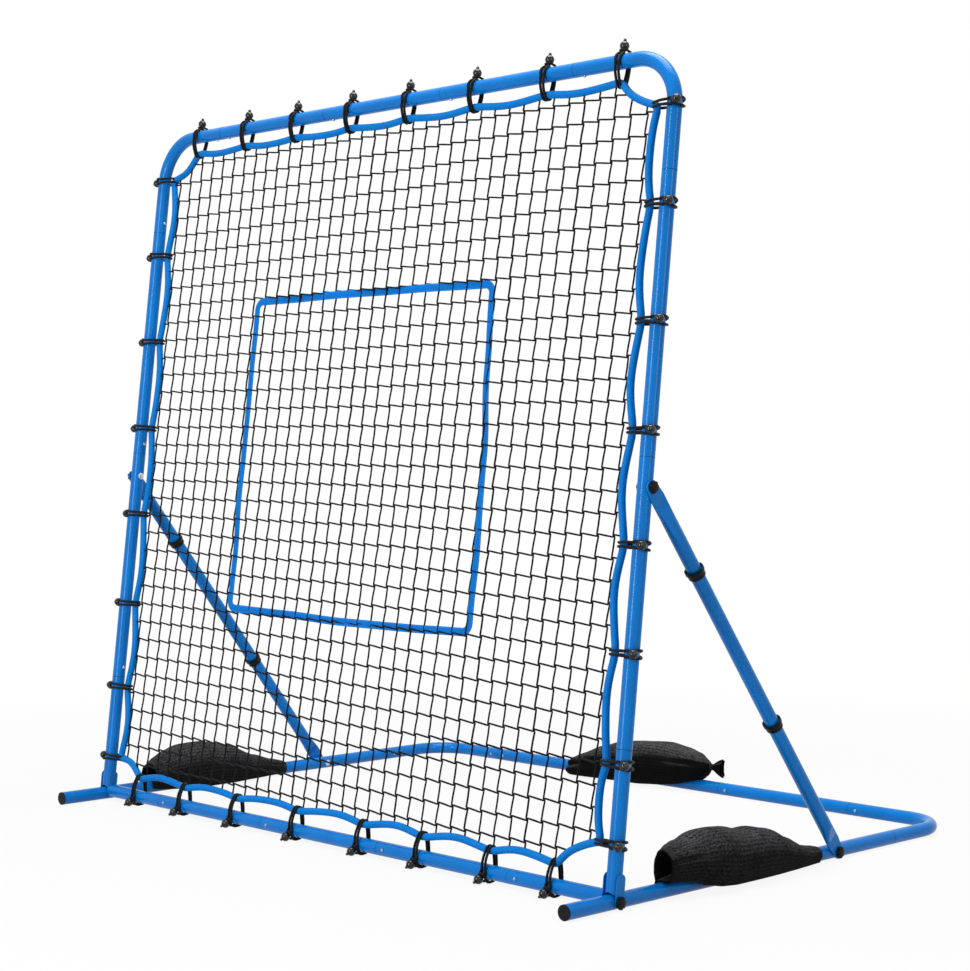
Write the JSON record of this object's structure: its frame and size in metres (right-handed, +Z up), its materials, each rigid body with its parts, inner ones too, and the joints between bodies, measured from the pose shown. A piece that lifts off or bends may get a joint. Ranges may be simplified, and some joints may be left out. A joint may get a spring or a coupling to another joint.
{
  "type": "pitch back rebounder",
  "caption": "Blue tube frame holds a tied elastic net with a square target, tilting on a U-shaped ground frame with telescoping braces and draped sandbags.",
  "frame": {"origin": "on the ground, at the middle of the bounding box's bottom face", "axes": "+X along the crossbar, to the right as the player sees the net; +Y to the rear, away from the player; +Z up"},
  "size_m": [2.0866, 1.5482, 1.9216],
  "materials": {
    "frame_tube": "blue powder coat, satin",
    "brace_tube": "blue powder coat, satin",
    "end_cap": "black moulded plastic",
    "bolt": "zinc plated",
    "knob": "black moulded plastic",
    "lock": "black moulded plastic",
    "button": "bright spring steel",
    "netting": "black braided cord",
    "border_rope": "blue woven sleeve over rope",
    "strike_band": "blue woven webbing",
    "elastic_cord": "black braided elastic cord",
    "ball": "black moulded ball",
    "sandbag": "black ribbed knit"
  },
  "bodies": {
    "base": {"base_side_left": "frame_tube", "base_side_right": "frame_tube", "base_corner_left": "frame_tube", "base_corner_right": "frame_tube", "rear_tube_left": "frame_tube", "rear_tube_middle": "frame_tube", "rear_tube_right": "frame_tube", "end_caps": "end_cap", "brace_foot_bolts": "bolt"},
    "net_frame": {"foot_corner_left": "frame_tube", "foot_corner_right": "frame_tube", "upright_lower_left": "frame_tube", "upright_lower_right": "frame_tube", "upright_upper_left": "frame_tube", "upright_upper_right": "frame_tube", "top_corner_left": "frame_tube", "top_corner_right": "frame_tube", "top_tube_left": "frame_tube", "top_tube_middle": "frame_tube", "top_tube_right": "frame_tube", "cross_tube_left": "frame_tube", "cross_tube_middle": "frame_tube", "cross_tube_right": "frame_tube", "tilt_bolts": "bolt", "brace_top_bolts": "bolt", "net": "netting", "net_border": "border_rope", "strike_zone": "strike_band", "tie_cords_top": "elastic_cord", "tie_cords_bottom": "elastic_cord", "tie_cords_left": "elastic_cord", "tie_cords_right": "elastic_cord", "tie_balls": "ball"},
    "brace_upper_left": {"brace_upper_left": "brace_tube"},
    "brace_middle_left": {"brace_middle_left": "brace_tube"},
    "brace_lower_left": {"brace_lower_left": "brace_tube"},
    "upper_lock_left": {"upper_lock_left": "lock"},
    "lower_lock_left": {"lower_lock_left": "lock"},
    "tilt_knob_left": {"tilt_knob_left": "knob"},
    "brace_top_knob_left": {"brace_top_knob_left": "knob"},
    "brace_foot_knob_left": {"brace_foot_knob_left": "knob"},
    "brace_upper_right": {"brace_upper_right": "brace_tube"},
    "brace_middle_right": {"brace_middle_right": "brace_tube"},
    "brace_lower_right": {"brace_lower_right": "brace_tube"},
    "upper_lock_right": {"upper_lock_right": "lock"},
    "lower_lock_right": {"lower_lock_right": "lock"},
    "tilt_knob_right": {"tilt_knob_right": "knob"},
    "brace_top_knob_right": {"brace_top_knob_right": "knob"},
    "brace_foot_knob_right": {"brace_foot_knob_right": "knob"},
    "top_buttons": {"top_buttons": "button"},
    "upright_buttons_left": {"upright_buttons_left": "button"},
    "upright_buttons_right": {"upright_buttons_right": "button"},
    "cross_buttons": {"cross_buttons": "button"},
    "rear_buttons": {"rear_buttons": "button"},
    "side_button_left": {"side_button_left": "button"},
    "side_button_right": {"side_button_right": "button"},
    "sandbag_left": {"sandbag_left": "sandbag"},
    "sandbag_right": {"sandbag_right": "sandbag"},
    "sandbag_rear": {"sandbag_rear": "sandbag"}
  },
  "joints": [
    {"name": "frame_tilt", "type": "hinge", "parent": "base", "child": "net_frame", "pos_m": [0, -0.62014, 0.0175], "axis": [1, 0, 0], "range_deg": [0, 14.4]},
    {"name": "brace_swing_left", "type": "hinge", "parent": "base", "child": "brace_lower_left", "pos_m": [-0.9801, 0.17686, 0.0175], "axis": [1, 0, 0], "range_deg": [0, 8.2]},
    {"name": "lower_telescope_left", "type": "slide", "parent": "brace_lower_left", "child": "brace_middle_left", "axis": [0, -0.614, 0.7893], "range_m": [0, 0.0755]},
    {"name": "upper_telescope_left", "type": "slide", "parent": "brace_middle_left", "child": "brace_upper_left", "axis": [0, -0.614, 0.7893], "range_m": [0, 0.0755]},
    {"name": "upper_lock_turn_left", "type": "hinge", "parent": "brace_upper_left", "child": "upper_lock_left", "pos_m": [-0.9801, -0.36559, 0.71477], "axis": [0, -0.614, 0.7893], "range_deg": [0, 90]},
    {"name": "lower_lock_turn_left", "type": "hinge", "parent": "brace_middle_left", "child": "lower_lock_left", "pos_m": [-0.9801, -0.08006, 0.34776], "axis": [0, -0.614, 0.7893], "range_deg": [0, 90]},
    {"name": "tilt_knob_turn_left", "type": "hinge", "parent": "net_frame", "child": "tilt_knob_left", "pos_m": [-0.9812, -0.62014, 0.0175], "axis": [-1, 0, 0], "continuous": true},
    {"name": "brace_top_knob_turn_left", "type": "hinge", "parent": "net_frame", "child": "brace_top_knob_left", "pos_m": [-0.9826, -0.51971, 0.91288], "axis": [-1, 0, 0], "continuous": true},
    {"name": "brace_foot_knob_turn_left", "type": "hinge", "parent": "base", "child": "brace_foot_knob_left", "pos_m": [-0.9826, 0.17686, 0.0175], "axis": [-1, 0, 0], "continuous": true},
    {"name": "brace_swing_right", "type": "hinge", "parent": "base", "child": "brace_lower_right", "pos_m": [0.9801, 0.17686, 0.0175], "axis": [1, 0, 0], "range_deg": [0, 8.2]},
    {"name": "lower_telescope_right", "type": "slide", "parent": "brace_lower_right", "child": "brace_middle_right", "axis": [0, -0.614, 0.7893], "range_m": [0, 0.0755]},
    {"name": "upper_telescope_right", "type": "slide", "parent": "brace_middle_right", "child": "brace_upper_right", "axis": [0, -0.614, 0.7893], "range_m": [0, 0.0755]},
    {"name": "upper_lock_turn_right", "type": "hinge", "parent": "brace_upper_right", "child": "upper_lock_right", "pos_m": [0.9801, -0.36559, 0.71477], "axis": [0, -0.614, 0.7893], "range_deg": [0, 90]},
    {"name": "lower_lock_turn_right", "type": "hinge", "parent": "brace_middle_right", "child": "lower_lock_right", "pos_m": [0.9801, -0.08006, 0.34776], "axis": [0, -0.614, 0.7893], "range_deg": [0, 90]},
    {"name": "tilt_knob_turn_right", "type": "hinge", "parent": "net_frame", "child": "tilt_knob_right", "pos_m": [0.9812, -0.62014, 0.0175], "axis": [1, 0, 0], "continuous": true},
    {"name": "brace_top_knob_turn_right", "type": "hinge", "parent": "net_frame", "child": "brace_top_knob_right", "pos_m": [0.9826, -0.51971, 0.91288], "axis": [1, 0, 0], "continuous": true},
    {"name": "brace_foot_knob_turn_right", "type": "hinge", "parent": "base", "child": "brace_foot_knob_right", "pos_m": [0.9826, 0.17686, 0.0175], "axis": [1, 0, 0], "continuous": true},
    {"name": "top_buttons_press", "type": "slide", "parent": "net_frame", "child": "top_buttons", "axis": [0, 0.1115, 0.9938], "range_m": [0, 0.0028], "stiffness_N_per_m": 7500, "springref_m": -0.001},
    {"name": "upright_buttons_left_press", "type": "slide", "parent": "net_frame", "child": "upright_buttons_left", "axis": [-1, 0, 0], "range_m": [0, 0.0028], "stiffness_N_per_m": 4500, "springref_m": -0.001},
    {"name": "upright_buttons_right_press", "type": "slide", "parent": "net_frame", "child": "upright_buttons_right", "axis": [1, 0, 0], "range_m": [0, 0.0028], "stiffness_N_per_m": 4500, "springref_m": -0.001},
    {"name": "cross_buttons_press", "type": "slide", "parent": "net_frame", "child": "cross_buttons", "axis": [0, 0.9938, -0.1115], "range_m": [0, 0.0028], "stiffness_N_per_m": 6000, "springref_m": -0.001},
    {"name": "rear_buttons_press", "type": "slide", "parent": "base", "child": "rear_buttons", "axis": [0, 1, 0], "range_m": [0, 0.0028], "stiffness_N_per_m": 7500, "springref_m": -0.001},
    {"name": "side_button_left_press", "type": "slide", "parent": "base", "child": "side_button_left", "axis": [-1, 0, 0], "range_m": [0, 0.0028], "stiffness_N_per_m": 1500, "springref_m": -0.001},
    {"name": "side_button_right_press", "type": "slide", "parent": "base", "child": "side_button_right", "axis": [1, 0, 0], "range_m": [0, 0.0028], "stiffness_N_per_m": 1500, "springref_m": -0.001},
    {"name": "sandbag_left_lift", "type": "slide", "parent": "base", "child": "sandbag_left", "axis": [0, -0.7188, 0.6953], "range_m": [0, 0.08]},
    {"name": "sandbag_right_lift", "type": "slide", "parent": "base", "child": "sandbag_right", "axis": [0, -0.7188, 0.6953], "range_m": [0, 0.08]},
    {"name": "sandbag_rear_lift", "type": "slide", "parent": "base", "child": "sandbag_rear", "axis": [0, 0, 1], "range_m": [0, 0.3]}
  ],
  "couplings": [
    {"joint": "brace_swing_left", "follows": "frame_tilt", "ratio": 0.5605},
    {"joint": "lower_telescope_left", "follows": "frame_tilt", "m_per_rad": 0.2962},
    {"joint": "upper_telescope_left", "follows": "frame_tilt", "m_per_rad": 0.2962},
    {"joint": "brace_swing_right", "follows": "frame_tilt", "ratio": 0.5605},
    {"joint": "lower_telescope_right", "follows": "frame_tilt", "m_per_rad": 0.2962},
    {"joint": "upper_telescope_right", "follows": "frame_tilt", "m_per_rad": 0.2962}
  ]
}
